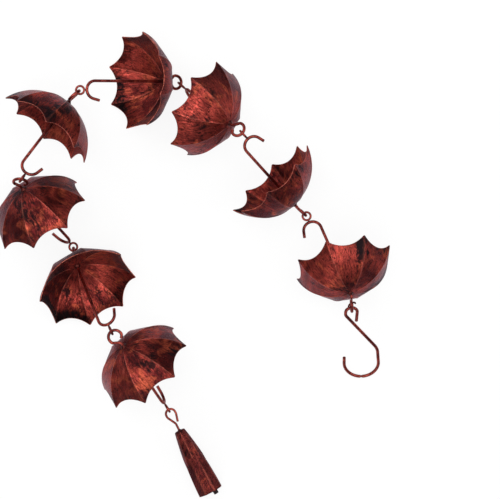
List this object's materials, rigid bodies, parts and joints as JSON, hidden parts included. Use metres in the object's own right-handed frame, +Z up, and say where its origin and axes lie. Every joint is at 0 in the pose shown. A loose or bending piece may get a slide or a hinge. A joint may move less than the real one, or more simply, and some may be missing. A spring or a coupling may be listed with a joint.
{
  "type": "rain chain",
  "caption": "Rain chain of umbrella-shaped pressed metal cups on bent wire links, with a gutter hook at one end and a tapered bell at the other.",
  "frame": {"origin": "middle of the footprint of the chain as it lies, on the floor", "axes": "+Z up from the floor; the chain lies in an arch, with its crown towards +Y, the gutter hook on +X and the bell on -X"},
  "size_m": [0.391, 0.465, 0.1087],
  "materials": {
    "pressed_sheet": "antique copper, brushed",
    "bent_wire": "antique copper, plated wire",
    "clapper_metal": "dark bronze"
  },
  "bodies": {
    "gutter_hook": {"gutter_hook": "bent_wire"},
    "cup_1": {"canopy_1": "pressed_sheet", "hanger_1": "bent_wire", "ring_1": "bent_wire", "keeper_ring": "bent_wire"},
    "cup_2": {"canopy_2": "pressed_sheet", "hanger_2": "bent_wire", "ring_2": "bent_wire"},
    "cup_3": {"canopy_3": "pressed_sheet", "hanger_3": "bent_wire", "ring_3": "bent_wire"},
    "cup_4": {"canopy_4": "pressed_sheet", "hanger_4": "bent_wire", "ring_4": "bent_wire"},
    "cup_5": {"canopy_5": "pressed_sheet", "hanger_5": "bent_wire", "ring_5": "bent_wire"},
    "cup_6": {"canopy_6": "pressed_sheet", "hanger_6": "bent_wire", "ring_6": "bent_wire"},
    "cup_7": {"canopy_7": "pressed_sheet", "hanger_7": "bent_wire", "ring_7": "bent_wire"},
    "cup_8": {"canopy_8": "pressed_sheet", "hanger_8": "bent_wire", "ring_8": "bent_wire"},
    "bell": {"bell": "pressed_sheet", "bell_wire": "bent_wire"},
    "clapper": {"clapper": "clapper_metal"}
  },
  "joints": [
    {"name": "link_1", "type": "hinge", "parent": "gutter_hook", "child": "cup_1", "pos_m": [0.15798, -0.04291, 0.05688], "axis": [0, 0, 1], "range_deg": [-20, 20]},
    {"name": "link_2", "type": "hinge", "parent": "cup_1", "child": "cup_2", "pos_m": [0.11326, 0.05128, 0.03643], "axis": [0, 0, -1], "range_deg": [-20, 20]},
    {"name": "link_3", "type": "hinge", "parent": "cup_2", "child": "cup_3", "pos_m": [0.0481, 0.13301, 0.07951], "axis": [0, 0, 1], "range_deg": [-20, 20]},
    {"name": "link_4", "type": "hinge", "parent": "cup_3", "child": "cup_4", "pos_m": [-0.01485, 0.18596, 0.01003], "axis": [0, 0, -1], "range_deg": [-20, 20]},
    {"name": "link_5", "type": "hinge", "parent": "cup_4", "child": "cup_5", "pos_m": [-0.11077, 0.1738, 0.05962], "axis": [0, 0, 1], "range_deg": [-20, 20]},
    {"name": "link_6", "type": "hinge", "parent": "cup_5", "child": "cup_6", "pos_m": [-0.16683, 0.08325, 0.08255], "axis": [0, 0, -1], "range_deg": [-12, 20]},
    {"name": "link_7", "type": "hinge", "parent": "cup_6", "child": "cup_7", "pos_m": [-0.12053, 0.01885, 0.01421], "axis": [0, 0, 1], "range_deg": [-20, 20]},
    {"name": "link_8", "type": "hinge", "parent": "cup_7", "child": "cup_8", "pos_m": [-0.07728, -0.06578, 0.06889], "axis": [0, 0, -1], "range_deg": [-20, 20]},
    {"name": "link_9", "type": "hinge", "parent": "cup_8", "child": "bell", "pos_m": [-0.02321, -0.14603, 0.01903], "axis": [0, 0, 1], "range_deg": [-20, 20]},
    {"name": "clapper_swing", "type": "hinge", "parent": "bell", "child": "clapper", "pos_m": [-0.00488, -0.18202, 0.01678], "axis": [0, 0, 1], "range_deg": [-8, 1.5]}
  ]
}
